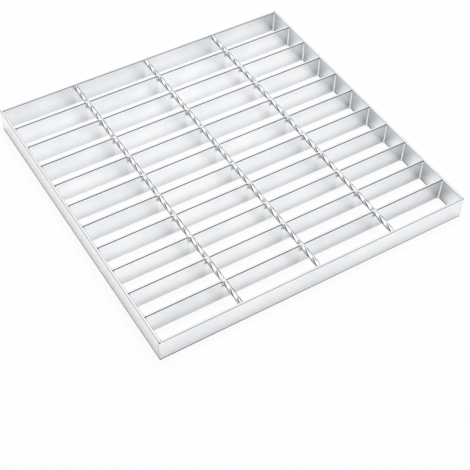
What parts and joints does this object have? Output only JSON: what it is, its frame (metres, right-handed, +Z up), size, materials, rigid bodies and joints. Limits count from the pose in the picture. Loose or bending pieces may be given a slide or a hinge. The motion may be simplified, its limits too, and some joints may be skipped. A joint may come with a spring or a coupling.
{
  "type": "drain grate",
  "caption": "Square welded bar grating panel with upright flat bars, end bands and twisted cross rods, laid over a drain or gully to let water through.",
  "frame": {"origin": "centre of the panel's underside", "axes": "+X along the bearing bars to the right, +Y across them to the back, +Z up out of the drain"},
  "size_m": [0.4, 0.4, 0.03],
  "materials": {
    "galvanised_flat": "hot-dip galvanised, matt light grey",
    "galvanised_rod": "hot-dip galvanised over twisted square wire",
    "galvanised_weld": "hot-dip galvanised over weld metal"
  },
  "bodies": {
    "root": {"front_edge_bar": "galvanised_flat", "back_edge_bar": "galvanised_flat", "bearing_bar_01": "galvanised_flat", "bearing_bar_02": "galvanised_flat", "bearing_bar_03": "galvanised_flat", "bearing_bar_04": "galvanised_flat", "bearing_bar_05": "galvanised_flat", "bearing_bar_06": "galvanised_flat", "bearing_bar_07": "galvanised_flat", "bearing_bar_08": "galvanised_flat", "bearing_bar_09": "galvanised_flat", "bearing_bar_10": "galvanised_flat", "left_end_band": "galvanised_flat", "right_end_band": "galvanised_flat", "cross_rod_left": "galvanised_rod", "cross_rod_middle": "galvanised_rod", "cross_rod_right": "galvanised_rod", "left_end_welds": "galvanised_weld", "right_end_welds": "galvanised_weld", "rod_welds_left": "galvanised_weld", "rod_welds_middle": "galvanised_weld", "rod_welds_right": "galvanised_weld"}
  },
  "joints": []
}
